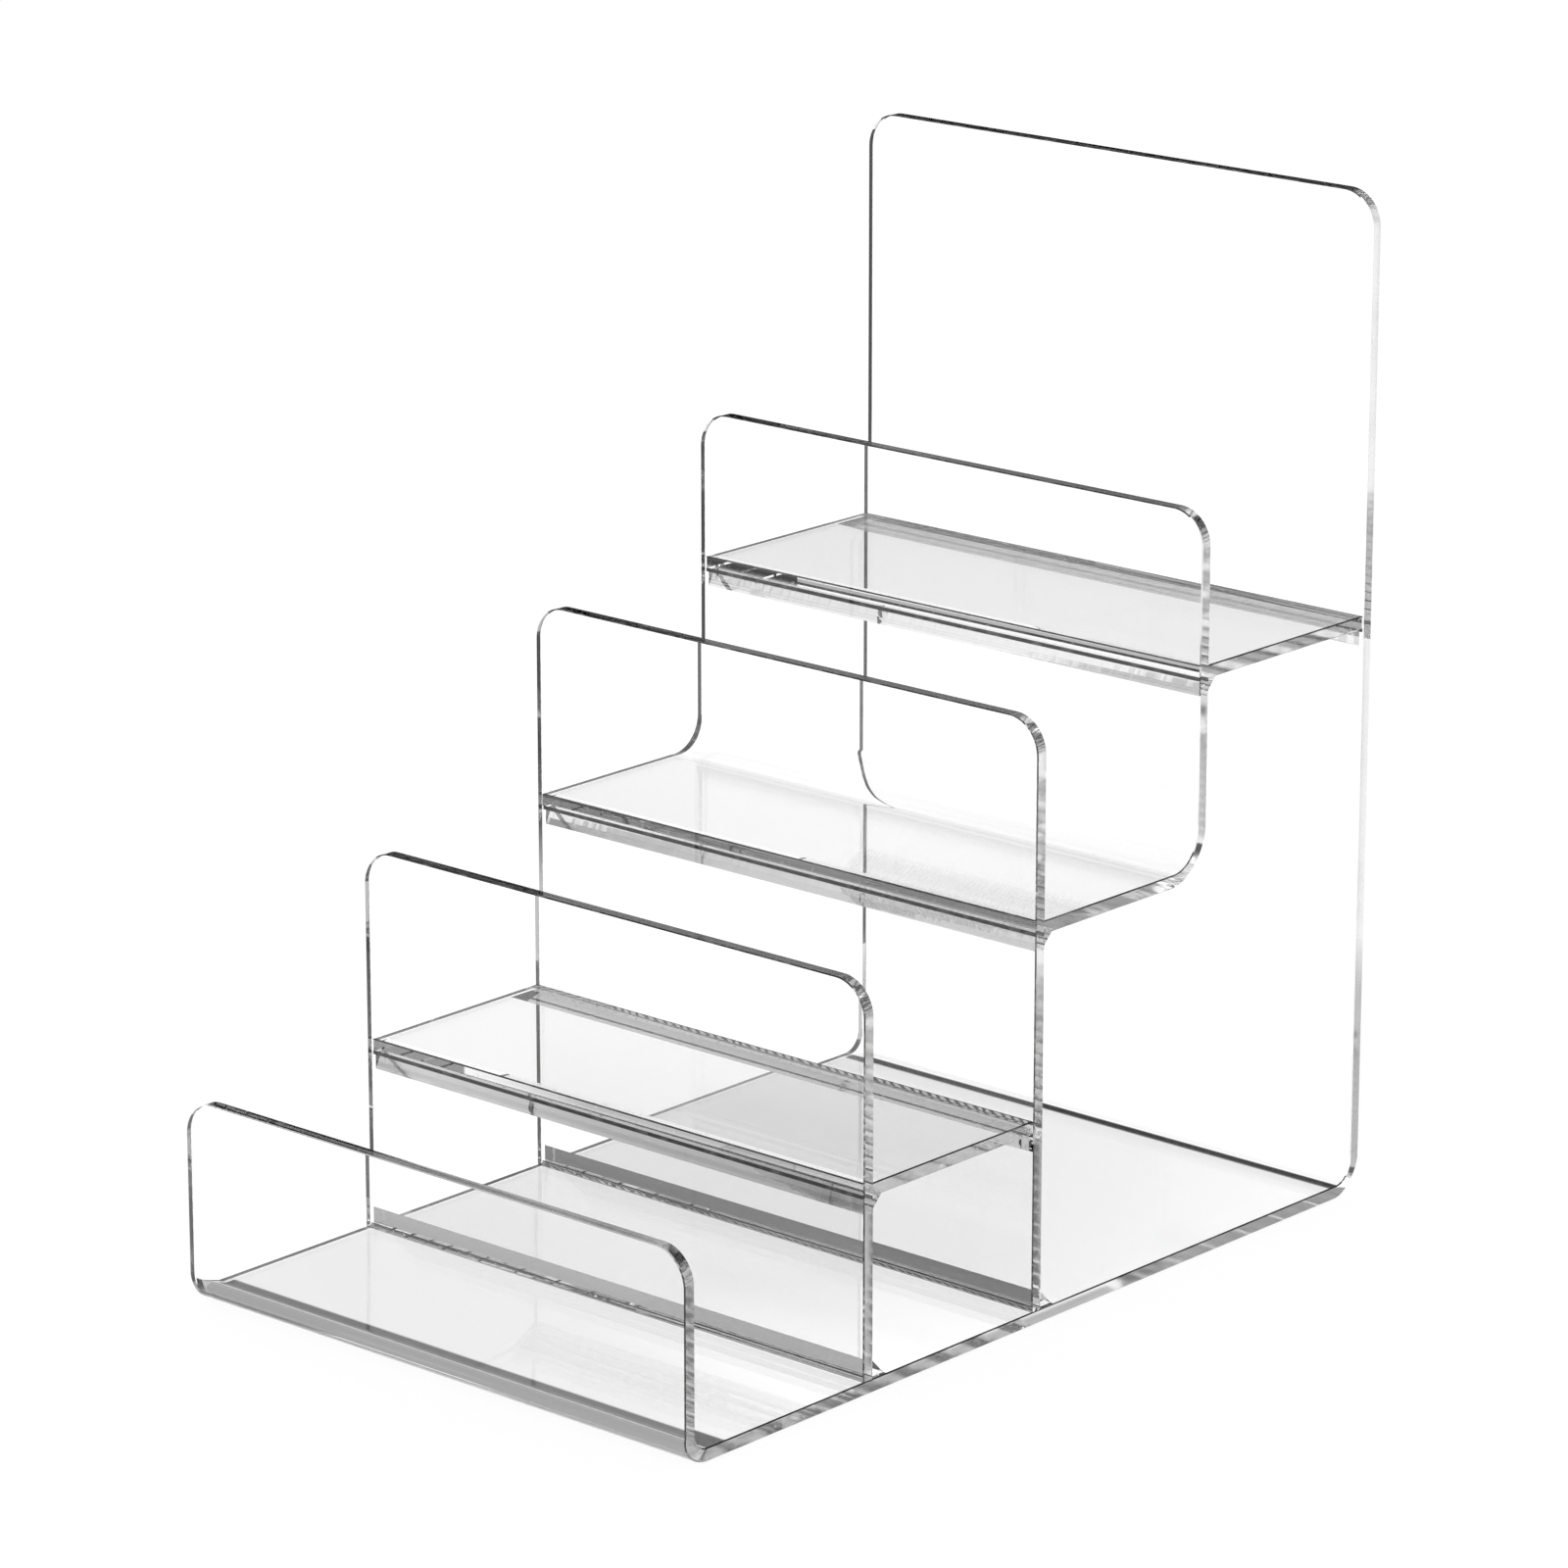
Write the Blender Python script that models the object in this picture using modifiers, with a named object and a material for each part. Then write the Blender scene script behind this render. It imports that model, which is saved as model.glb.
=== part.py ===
"""Clear acrylic display riser with four stepped tiers.

The stand is glued up from one thickness of clear sheet. The base sheet is bent up at the front into
a low lip and at the back into a tall panel. Two flat risers stand on it, and three shelves bridge the
steps. The third shelf turns up to make the fourth riser. Thin triangular strips fill the glued corners.

X runs across the stand, Y from front to back, Z up. The origin is under the middle of the base.
"""
import math

import bpy
import bmesh

# Sheet
SHEET = 0.0030                      # thickness of every sheet
JOINT_GAP = 0.0003                  # film of cement between two glued pieces
WIDTH = 0.1440                      # width of the base, the risers and the back panel
SHELF_SIDE_SETBACK = 0.0004         # how far the flat shelves stop short of each side

# Steps from front to back, clear depth between upright sheets
TIER_1_DEPTH = 0.0516
TIER_2_DEPTH = 0.0516
TIER_3_DEPTH = 0.0512
TIER_4_DEPTH = 0.0546

# Steps upwards, from one tier's floor to the next
TIER_2_STEP = 0.0429
TIER_3_STEP = 0.0438
TIER_4_STEP = 0.0443

# Height of each lip above its tier's floor
TIER_1_LIP = 0.0435
TIER_2_LIP = 0.0438
TIER_3_LIP = 0.0441
TIER_4_LIP = 0.0340
BACK_PANEL_RISE = 0.0943

# Bends, radius on the inner face
FRONT_BEND = 0.0036
BACK_BEND = 0.0050
SHELF_BEND = 0.0080
BEND_STEPS = 12

# Rounded upper corners
LIP_CORNER = 0.0080
BACK_CORNER = 0.0080
CORNER_STEPS = 12

# Triangular strips
BASE_STRIP_LEG = 0.0044             # both square legs of the strips on the base
SHELF_STRIP_LEG = 0.0038            # square leg that runs down from a shelf, and the front strips' other one
TIER_2_REAR_STRIP_DEPTH = 0.0087    # leg of each flat rear strip, along the underside of its shelf
TIER_4_REAR_STRIP_DEPTH = 0.0103
STRIP_SIDE_SETBACK = 0.0010         # how far the strips stop short of each side

# Places of the upright sheets' front faces
UPRIGHTS = 5
DEPTH = TIER_1_DEPTH + TIER_2_DEPTH + TIER_3_DEPTH + TIER_4_DEPTH + UPRIGHTS * SHEET
LIP_FACE = -DEPTH / 2
RISER_2_FACE = LIP_FACE + SHEET + TIER_1_DEPTH
RISER_3_FACE = RISER_2_FACE + SHEET + TIER_2_DEPTH
RISER_4_FACE = RISER_3_FACE + SHEET + TIER_3_DEPTH
BACK_FACE = RISER_4_FACE + SHEET + TIER_4_DEPTH

# Heights of the tiers' floors
FLOOR_1 = SHEET
FLOOR_2 = FLOOR_1 + TIER_2_STEP
FLOOR_3 = FLOOR_2 + TIER_3_STEP
FLOOR_4 = FLOOR_3 + TIER_4_STEP

# Clear acrylic
ACRYLIC_COLOUR = (0.93, 0.95, 0.95, 1.0)
STRIP_COLOUR = (0.86, 0.89, 0.90, 1.0)
POLISHED_ROUGHNESS = 0.05
SAWN_ROUGHNESS = 0.22


def clear_scene():
    """Remove whatever the file opens with."""
    for old in list(bpy.data.objects):
        bpy.data.objects.remove(old, do_unlink=True)


def acrylic(name, colour, roughness):
    """Clear plastic of the given tint and polish."""
    material = bpy.data.materials.new(name)
    material.use_nodes = True
    shader = material.node_tree.nodes["Principled BSDF"]
    shader.inputs["Base Color"].default_value = colour
    shader.inputs["Roughness"].default_value = roughness
    shader.inputs["Metallic"].default_value = 0.0
    material.diffuse_color = colour
    return material


def arc(centre, radius, start, end):
    """Points of a bend in the side view, from one angle to another."""
    cy, cz = centre
    points = []
    for step in range(BEND_STEPS + 1):
        angle = start + (end - start) * step / BEND_STEPS
        points.append((cy + radius * math.cos(angle), cz + radius * math.sin(angle)))
    return points


def sheet(name, profile, width, material, parts, corners=()):
    """Bent or flat sheet that follows a side-view line through the middle of its thickness.

    corners pairs an end of the line, 0 or -1, with the radius that rounds both of its corners.
    """
    outline = bmesh.new()
    left = [outline.verts.new((-width / 2, y, z)) for y, z in profile]
    for first, second in zip(left, left[1:]):
        outline.edges.new((first, second))
    swept = bmesh.ops.extrude_edge_only(outline, edges=outline.edges[:])
    right = [item for item in swept["geom"] if isinstance(item, bmesh.types.BMVert)]
    bmesh.ops.translate(outline, verts=right, vec=(width, 0, 0))
    mesh = bpy.data.meshes.new(name)
    outline.to_mesh(mesh)
    outline.free()

    body = bpy.data.objects.new(name, mesh)
    body.data.materials.append(material)
    parts.objects.link(body)
    for end, radius in corners:
        round_corners(body, profile[end], radius)
    thickness = body.modifiers.new("thickness", "SOLIDIFY")
    thickness.thickness = SHEET
    thickness.offset = 0
    thickness.use_even_offset = True
    return body


def round_corners(body, end, radius):
    """Round the two corners of a sheet that lie on the given side-view point."""
    group = body.vertex_groups.new(name="corners")
    ends = [
        vertex.index for vertex in body.data.vertices
        if math.dist((vertex.co.y, vertex.co.z), end) < JOINT_GAP
    ]
    group.add(ends, 1.0, "REPLACE")
    rounding = body.modifiers.new("corners", "BEVEL")
    rounding.affect = "VERTICES"
    rounding.limit_method = "VGROUP"
    rounding.vertex_group = group.name
    rounding.width = radius
    rounding.segments = CORNER_STEPS


def strip(name, corner, depth, height, to_back, upwards, material, parts):
    """Triangular strip across the stand, with its square edge in a glued corner.

    corner is the point where the two glued faces meet. depth and height are the strip's legs along the
    level and the upright face. to_back and upwards are 1 or -1 and say which way they run.
    """
    y, z = corner
    near_y = y + to_back * JOINT_GAP
    near_z = z + upwards * JOINT_GAP
    triangle = [
        (near_y, near_z),
        (near_y + to_back * depth, near_z),
        (near_y, near_z + upwards * height),
    ]
    outline = bpy.data.curves.new(name, "CURVE")
    outline.dimensions = "2D"
    outline.fill_mode = "BOTH"
    outline.extrude = WIDTH / 2 - STRIP_SIDE_SETBACK
    spline = outline.splines.new("POLY")
    spline.points.add(len(triangle) - 1)
    for point, (place_y, place_z) in zip(spline.points, triangle):
        point.co = (place_y, place_z, 0, 1)
    spline.use_cyclic_u = True

    body = bpy.data.objects.new(name, outline)
    body.rotation_euler = (math.radians(90), 0, math.radians(90))
    body.data.materials.append(material)
    parts.objects.link(body)
    return body


def base_and_back_sheet(material, parts):
    """Front lip, base and back panel, bent from one sheet."""
    middle = SHEET / 2
    front_radius = FRONT_BEND + middle
    back_radius = BACK_BEND + middle
    front_y = LIP_FACE + middle
    back_y = BACK_FACE + middle
    front_centre = (front_y + front_radius, middle + front_radius)
    back_centre = (back_y - back_radius, middle + back_radius)
    profile = [(front_y, FLOOR_1 + TIER_1_LIP)]
    profile += arc(front_centre, front_radius, math.pi, math.pi * 1.5)
    profile += arc(back_centre, back_radius, math.pi * 1.5, math.pi * 2)
    profile += [(back_y, FLOOR_4 + BACK_PANEL_RISE)]
    corners = [(0, LIP_CORNER), (-1, BACK_CORNER)]
    return sheet("base_and_back_sheet", profile, WIDTH, material, parts, corners)


def upright(name, face, lip_top, material, parts):
    """Flat riser that stands on the base, with its upper corners rounded."""
    middle = face + SHEET / 2
    profile = [(middle, FLOOR_1 + JOINT_GAP), (middle, lip_top)]
    return sheet(name, profile, WIDTH, material, parts, corners=[(-1, LIP_CORNER)])


def flat_shelf(name, front, back, floor, material, parts):
    """Flat shelf that fits between the back of one upright and the front of the next."""
    middle = floor - SHEET / 2
    profile = [(front + SHEET + JOINT_GAP, middle), (back - JOINT_GAP, middle)]
    return sheet(name, profile, WIDTH - 2 * SHELF_SIDE_SETBACK, material, parts)


def tier_3_shelf_and_tier_4_riser(material, parts):
    """Third shelf and fourth riser, bent from one sheet."""
    middle = SHEET / 2
    radius = SHELF_BEND + middle
    shelf_z = FLOOR_3 - middle
    riser_y = RISER_4_FACE + middle
    profile = [(RISER_3_FACE + SHEET + JOINT_GAP, shelf_z)]
    profile += arc((riser_y - radius, shelf_z + radius), radius, math.pi * 1.5, math.pi * 2)
    profile += [(riser_y, FLOOR_4 + TIER_4_LIP)]
    corners = [(-1, LIP_CORNER)]
    return sheet("tier_3_shelf_and_tier_4_riser", profile, WIDTH, material, parts, corners)


def glue_strips(material, parts):
    """Strips on the base behind the risers, and under the shelves' front and rear edges."""
    behind_2 = RISER_2_FACE + SHEET
    behind_3 = RISER_3_FACE + SHEET
    behind_4 = RISER_4_FACE + SHEET
    under_2 = FLOOR_2 - SHEET
    under_3 = FLOOR_3 - SHEET
    under_4 = FLOOR_4 - SHEET
    base_strips = [
        ("tier_2_riser_base_strip", behind_2),
        ("tier_3_riser_base_strip", behind_3),
    ]
    front_strips = [
        ("tier_2_shelf_front_strip", (behind_2, under_2)),
        ("tier_3_shelf_front_strip", (behind_3, under_3)),
        ("tier_4_shelf_front_strip", (behind_4, under_4)),
    ]
    rear_strips = [
        ("tier_2_shelf_rear_strip", (RISER_3_FACE, under_2), TIER_2_REAR_STRIP_DEPTH),
        ("tier_4_shelf_rear_strip", (BACK_FACE, under_4), TIER_4_REAR_STRIP_DEPTH),
    ]
    for name, behind in base_strips:
        strip(name, (behind, FLOOR_1), BASE_STRIP_LEG, BASE_STRIP_LEG, 1, 1, material, parts)
    for name, corner in front_strips:
        strip(name, corner, SHELF_STRIP_LEG, SHELF_STRIP_LEG, 1, -1, material, parts)
    for name, corner, depth in rear_strips:
        strip(name, corner, depth, SHELF_STRIP_LEG, -1, -1, material, parts)


def main():
    clear_scene()
    parts = bpy.data.collections.new("acrylic_display_riser")
    bpy.context.scene.collection.children.link(parts)
    clear = acrylic("clear_acrylic_sheet", ACRYLIC_COLOUR, POLISHED_ROUGHNESS)
    sawn = acrylic("clear_acrylic_strip", STRIP_COLOUR, SAWN_ROUGHNESS)

    base_and_back_sheet(clear, parts)
    upright("tier_2_riser", RISER_2_FACE, FLOOR_2 + TIER_2_LIP, clear, parts)
    flat_shelf("tier_2_shelf", RISER_2_FACE, RISER_3_FACE, FLOOR_2, clear, parts)
    upright("tier_3_riser", RISER_3_FACE, FLOOR_3 + TIER_3_LIP, clear, parts)
    tier_3_shelf_and_tier_4_riser(clear, parts)
    flat_shelf("tier_4_shelf", RISER_4_FACE, BACK_FACE, FLOOR_4, clear, parts)
    glue_strips(sawn, parts)


if __name__ == "__main__":
    main()
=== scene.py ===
"""Clear acrylic display riser with four stepped tiers, finished for pictures.

Every sheet starts as a flat blank with polished, chamfered edges, as the real ones do. One node tree
bends it over hot lines. A second tree saws the triangular strips that fill the glued corners. Faces that
touch are joined by a film of cement with small bubbles, and a dark line of set cement runs along the ends
of every joint.
"""
import math

import bmesh
import bpy
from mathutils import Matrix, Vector
from mathutils.bvhtree import BVHTree


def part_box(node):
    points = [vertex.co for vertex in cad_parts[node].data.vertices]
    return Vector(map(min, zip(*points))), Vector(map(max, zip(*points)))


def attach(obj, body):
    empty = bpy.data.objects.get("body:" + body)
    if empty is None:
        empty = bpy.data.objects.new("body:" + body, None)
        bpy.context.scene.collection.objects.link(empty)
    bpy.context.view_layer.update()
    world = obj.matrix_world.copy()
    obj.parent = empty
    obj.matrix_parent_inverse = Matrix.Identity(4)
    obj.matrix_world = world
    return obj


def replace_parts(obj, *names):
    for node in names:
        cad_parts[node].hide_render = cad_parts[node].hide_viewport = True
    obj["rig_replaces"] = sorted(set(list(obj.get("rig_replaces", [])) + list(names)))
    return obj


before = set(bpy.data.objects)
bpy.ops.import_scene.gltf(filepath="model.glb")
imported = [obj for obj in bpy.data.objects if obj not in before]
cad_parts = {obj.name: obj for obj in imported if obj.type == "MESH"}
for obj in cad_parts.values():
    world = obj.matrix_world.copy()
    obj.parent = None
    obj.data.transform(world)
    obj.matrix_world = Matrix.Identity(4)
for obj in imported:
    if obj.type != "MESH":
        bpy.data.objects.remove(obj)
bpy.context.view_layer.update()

bl_info = {
    "name": "Acrylic Display Riser",
    "version": (1, 0, 0),
    "blender": (4, 5, 0),
    "location": "3D View > Sidebar > Display Riser",
    "description": "Builds a clear stepped display riser from bent acrylic sheet",
    "category": "Add Mesh",
}

MM = 0.001
BODY = "root"
BASE_SHEET = "base_and_back_sheet"
QUARTER_TURN = math.pi / 2
CAD_GAP = 0.3 * MM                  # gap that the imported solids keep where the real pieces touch
CORNER_STEPS = 16                   # steps round each rounded corner of a sheet
BEND_STEPS = 28                     # steps round each bend
SAW_MARK_SCALE = 700.0              # marks on the strips' sawn faces, as waves a metre
LEG_END = 0.07                      # share of a strip's leg that its sawn face leaves clear at either end
ACRYLIC_IOR = 1.49
FACE, EDGE, CEMENT, SAWN, SEAM_AND_SHADE = range(5)   # places of the five finishes on every piece
FINISHES = ("acrylic_face", "acrylic_edge", "acrylic_cement", "acrylic_sawn", "acrylic_seam_and_shade")


def low(node):
    """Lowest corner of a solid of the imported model."""
    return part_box(node)[0]


def high(node):
    """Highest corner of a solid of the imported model."""
    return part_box(node)[1]


# Just behind the front lip, whose top edge gets less of the painted shade on edges that face up
FRONT_LIP_BACK = low(BASE_SHEET).y + 3.5 * MM


# Node trees


class Value:
    """A number or vector on its way through a node tree, for use in plain sums."""

    def __init__(self, graph, socket):
        self.graph = graph
        self.socket = socket

    def maths(self, operation, *operands):
        return self.graph.node("ShaderNodeMath", {"operation": operation}, dict(enumerate(operands)))[0]

    def __add__(self, other):
        return self.maths("ADD", self, other)

    def __radd__(self, other):
        return self.maths("ADD", other, self)

    def __sub__(self, other):
        return self.maths("SUBTRACT", self, other)

    def __rsub__(self, other):
        return self.maths("SUBTRACT", other, self)

    def __mul__(self, other):
        return self.maths("MULTIPLY", self, other)

    def __truediv__(self, other):
        return self.maths("DIVIDE", self, other)

    def __gt__(self, other):
        return self.maths("GREATER_THAN", self, other)

    def __lt__(self, other):
        return self.maths("LESS_THAN", self, other)

    def __abs__(self):
        return self.maths("ABSOLUTE", self)

    def least(self, other):
        return self.maths("MINIMUM", self, other)

    def most(self, other):
        return self.maths("MAXIMUM", self, other)

    def between(self, lowest, highest):
        return self.most(lowest).least(highest)

    def rise(self, start, end):
        """Climb from 0 to 1 as the value goes from start to end."""
        return ((self - start) * (1.0 / (end - start))).between(0.0, 1.0)

    def within(self, start, end):
        """1 where the value lies between start and end, with soft sides."""
        side = 0.4 * MM
        return self.rise(start - side, start + side) * (1.0 - self.rise(end - side, end + side))

    def stepped(self, level, steps):
        """A level that changes by each step's amount as the value goes from the step's start to its end."""
        for start, end, change in steps:
            level = self.rise(start, end) * change + level
        return level

    def banded(self, level, bands):
        """A level that changes by each band's amount where the value lies in the band."""
        for start, end, change in bands:
            level = self.within(start, end) * change + level
        return level

    def sine(self):
        return self.maths("SINE", self)

    def cosine(self):
        return self.maths("COSINE", self)


class Outputs:
    """The outputs of one node, by name or place."""

    def __init__(self, graph, made):
        self.graph = graph
        self.made = made

    def __getitem__(self, key):
        return Value(self.graph, self.made.outputs[key])


class Graph:
    """A node tree under construction."""

    def __init__(self, tree):
        self.tree = tree
        tree.nodes.clear()

    def node(self, kind, settings=None, values=None):
        made = self.tree.nodes.new(kind)
        for name, setting in (settings or {}).items():
            setattr(made, name, setting)
        for key, value in (values or {}).items():
            if isinstance(value, Value):
                self.tree.links.new(value.socket, made.inputs[key])
            else:
                made.inputs[key].default_value = value
        return Outputs(self, made)

    def parts(self, vector):
        """The three parts of a vector."""
        return self.node("ShaderNodeSeparateXYZ", {}, {0: vector})

    def vector(self, x, y, z):
        """A vector made of three parts."""
        return self.node("ShaderNodeCombineXYZ", {}, {"X": x, "Y": y, "Z": z})["Vector"]

    def stretched(self, vector, scale):
        """A vector with each of its parts scaled."""
        return self.node("ShaderNodeVectorMath", {"operation": "MULTIPLY"}, {0: vector, 1: scale})[0]

    def noise(self, vector, scale, detail=2.0):
        """Smooth random values from 0 to 1."""
        values = {"Vector": vector, "Scale": scale, "Detail": detail}
        return self.node("ShaderNodeTexNoise", {}, values)["Fac"]

    def blend(self, factor, first, second):
        """A colour between two colours."""
        return self.node("ShaderNodeMix", {"data_type": "RGBA"}, {0: factor, 6: first, 7: second})[2]

    def moved(self, geometry, place):
        """Geometry with its points moved to a place, as real geometry."""
        values = {"Geometry": geometry, "Position": place}
        laid = self.node("GeometryNodeSetPosition", {}, values)["Geometry"]
        return self.node("GeometryNodeRealizeInstances", {}, {"Geometry": laid})["Geometry"]

    def coated(self, geometry, material, selection=True):
        """Geometry with a material on its selected faces."""
        values = {"Geometry": geometry, "Selection": selection, "Material": material}
        return self.node("GeometryNodeSetMaterial", {}, values)["Geometry"]


def tree_input(tree, name, kind):
    """Add a named input to a geometry node tree."""
    tree.interface.new_socket(name, in_out="INPUT", socket_type=kind)


def run_tree(piece, tree, given):
    """Put a node tree on a piece with the given inputs, by name, and make the result its plain mesh."""
    modifier = piece.modifiers.new(tree.name, "NODES")
    modifier.node_group = tree
    for item in tree.interface.items_tree:
        if item.in_out == "INPUT" and item.name in given:
            modifier[item.identifier] = given[item.name]
    bpy.context.view_layer.update()
    evaluated = piece.evaluated_get(bpy.context.evaluated_depsgraph_get())
    mesh = bpy.data.meshes.new_from_object(evaluated)
    piece.modifiers.remove(modifier)
    piece.data = mesh
    mesh.name = piece.name
    return mesh


# Settings


class SheetSettings(bpy.types.PropertyGroup):
    """Sizes of the sheets, the strips and the cement between them."""

    thickness: bpy.props.FloatProperty(
        name="Sheet Thickness",
        description="Thickness of every sheet",
        default=high("tier_2_riser").y - low("tier_2_riser").y,
        unit="LENGTH", subtype="DISTANCE", precision=5,
    )
    corner: bpy.props.FloatProperty(
        name="Corner Radius",
        description="Radius of the upper corners of the lips and of the back panel",
        default=8.0 * MM, unit="LENGTH", subtype="DISTANCE", precision=5,
    )
    chamfer: bpy.props.FloatProperty(
        name="Edge Chamfer",
        description="Width of the polished chamfer along every sheet edge",
        default=0.25 * MM, unit="LENGTH", subtype="DISTANCE", precision=5,
    )
    film: bpy.props.FloatProperty(
        name="Cement Film",
        description="Thickness of the cement between two glued faces",
        default=0.02 * MM, unit="LENGTH", subtype="DISTANCE", precision=5,
    )
    seam: bpy.props.FloatProperty(
        name="Seam Width",
        description="Width of the dark line of set cement along both sides of every joint",
        default=0.3 * MM, unit="LENGTH", subtype="DISTANCE", precision=5,
    )
    front_bend: bpy.props.FloatProperty(
        name="Front Bend",
        description="Radius of the bend under the front lip, on its inner face",
        default=3.6 * MM, unit="LENGTH", subtype="DISTANCE", precision=5,
    )
    back_bend: bpy.props.FloatProperty(
        name="Back Bend",
        description="Radius of the bend under the back panel, on its inner face",
        default=5.0 * MM, unit="LENGTH", subtype="DISTANCE", precision=5,
    )
    shelf_bend: bpy.props.FloatProperty(
        name="Shelf Bend",
        description="Radius of the bend that turns the third shelf up, on its inner face",
        default=8.0 * MM, unit="LENGTH", subtype="DISTANCE", precision=5,
    )
    draw_in: bpy.props.FloatProperty(
        name="Bend Draw-In",
        description="How far the ends of a bend draw in on its stretched outer side",
        default=0.5 * MM, unit="LENGTH", subtype="DISTANCE", precision=5,
    )
    ripple: bpy.props.FloatProperty(
        name="Bend Ripple",
        description="Depth of the ripples that the hot line leaves along the outside of a bend",
        default=0.02 * MM, unit="LENGTH", subtype="DISTANCE", precision=5,
    )
    saw_marks: bpy.props.FloatProperty(
        name="Saw Marks",
        description="Depth of the marks on the strips' sawn faces",
        default=0.03 * MM, unit="LENGTH", subtype="DISTANCE", precision=5,
    )


class FinishSettings(bpy.types.PropertyGroup):
    """Colours of the acrylic."""

    face_colour: bpy.props.FloatVectorProperty(
        name="Face Colour", description="Tint of the sheets, seen through their faces",
        default=(0.998, 0.998, 0.998, 1.0), size=4, subtype="COLOR", min=0.0, max=1.0,
    )
    edge_colour: bpy.props.FloatVectorProperty(
        name="Edge Colour", description="Tint of the polished edges",
        default=(0.98, 0.98, 0.98, 1.0), size=4, subtype="COLOR", min=0.0, max=1.0,
    )
    streak_colour: bpy.props.FloatVectorProperty(
        name="Streak Colour", description="Tint of the dull streaks along the edges",
        default=(0.84, 0.84, 0.84, 1.0), size=4, subtype="COLOR", min=0.0, max=1.0,
    )
    # Painted shade on the edges and chamfers that face up; also the colour of the cement residue marks and
    # joint seams
    shade_and_residue_colour: bpy.props.FloatVectorProperty(
        name="Painted Shade and Residue Colour", description="Colour of the residue on edges that face up and along the joints",
        default=(0.03, 0.03, 0.03, 1.0), size=4, subtype="COLOR", min=0.0, max=1.0,
    )
    sawn_colour: bpy.props.FloatVectorProperty(
        name="Sawn Colour", description="Colour of the strips' sawn faces",
        default=(0.9, 0.9, 0.9, 1.0), size=4, subtype="COLOR", min=0.0, max=1.0,
    )
    worn_colour: bpy.props.FloatVectorProperty(
        name="Sawn Patch Colour", description="Colour of the duller patches on the strips' sawn faces",
        default=(0.72, 0.72, 0.72, 1.0), size=4, subtype="COLOR", min=0.0, max=1.0,
    )


class StageSettings(bpy.types.PropertyGroup):
    """Camera, floor and light."""

    azimuth: bpy.props.FloatProperty(
        name="Azimuth", description="Angle of the camera round the stand, from straight ahead",
        default=math.radians(41.628), unit="ROTATION", subtype="ANGLE",
    )
    elevation: bpy.props.FloatProperty(
        name="Elevation", description="Angle of the camera above the floor",
        default=math.radians(16.271), unit="ROTATION", subtype="ANGLE",
    )
    distance: bpy.props.FloatProperty(
        name="Distance", description="Distance from the camera to the point it looks at",
        default=1.451, unit="LENGTH", subtype="DISTANCE",
    )
    target: bpy.props.FloatVectorProperty(
        name="Target", description="Point the camera looks at",
        default=(0.00287, -0.004383, 0.1071), unit="LENGTH", subtype="TRANSLATION",
    )
    focal_length: bpy.props.FloatProperty(
        name="Focal Length", description="Focal length of the lens, in millimetres, on a 36 mm sensor",
        default=155.138,
    )


# Materials


def smudges(graph, place, least, most):
    """Roughness that rises from least to most in soft patches."""
    patches = graph.noise(place, scale=38.0, detail=3.0).rise(start=0.5, end=0.8)
    return least + patches * (most - least)


def plastic(name, fill):
    """Clear acrylic. fill gives what changes over the surface, from the graph and the place on it."""
    material = bpy.data.materials.new(name)
    material.use_nodes = True
    graph = Graph(material.node_tree)
    values = {"IOR": ACRYLIC_IOR, "Transmission Weight": 1.0}
    values.update(fill(graph, graph.node("ShaderNodeTexCoord")["Object"]))
    shader = graph.node("ShaderNodeBsdfPrincipled", {}, values)["BSDF"]
    graph.node("ShaderNodeOutputMaterial", {}, {"Surface": shader})
    return material


def face_finish(graph, place):
    """Cast surface, bright and clear, with a few soft smudges."""
    colours = bpy.context.scene.riser_finishes
    return {
        "Base Color": colours.face_colour[:],
        "Roughness": smudges(graph, place, least=0.0, most=0.02),
    }


def edge_finish(graph, place):
    """Flame-polished edge: dull streaks across it, and painted shade, near black, where it faces up.

    The front lip's top edge gets less of the painted shade, and the right-hand edges are duller.
    """
    colours = bpy.context.scene.riser_finishes
    parts = graph.parts(place)
    lip_shade_cut, right_dullness = 0.45, 0.07
    streaks = graph.noise(place, scale=90.0).rise(start=0.45, end=0.75)
    along = graph.blend(streaks, colours.edge_colour[:], colours.streak_colour[:])
    normal = graph.parts(graph.node("ShaderNodeNewGeometry")["Normal"])
    # Painted shade: edges that face up are blended towards near black, by less on the front lip
    upward = normal["Z"].rise(start=0.9, end=0.97)
    shade_cut_on_lip = (parts["Y"] < FRONT_LIP_BACK) * lip_shade_cut
    dull = (parts["X"] > 0.0) * right_dullness
    return {
        "Base Color": graph.blend(upward * (1.0 - shade_cut_on_lip), along, colours.shade_and_residue_colour[:]),
        "Roughness": smudges(graph, place, least=0.02, most=0.05) + dull,
    }


def cement_finish(graph, place):
    """Joint filled with cement, so light passes as if both pieces were one, except at small voids.

    Slanting marks of residue run across the joint under the tier 3 riser.
    """
    colours = bpy.context.scene.riser_finishes
    parts = graph.parts(place)
    void_level, mark_level = 0.66, 0.2
    mark_slant, radians_a_metre, mark_wander = 0.7, 3450.0, 8.0
    voids = graph.noise(place, scale=900.0) > void_level
    wander = graph.noise(graph.stretched(place, (1.0, 0.2, 0.2)), scale=150.0)
    turns = (parts["X"] * mark_slant + parts["Y"]) * radians_a_metre + wander * mark_wander
    marks = turns.sine() > mark_level
    riser = "tier_3_riser"
    on_base = parts["Z"] < low(riser).z - 0.1 * MM
    foot = on_base * parts["Y"].within(low(riser).y, high(riser).y)
    residue = foot * marks
    return {
        "Base Color": graph.blend(residue, colours.face_colour[:], colours.shade_and_residue_colour[:]),
        "Roughness": 0.0,
        "Metallic": residue,
        "Alpha": voids.most(residue),
    }


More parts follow.
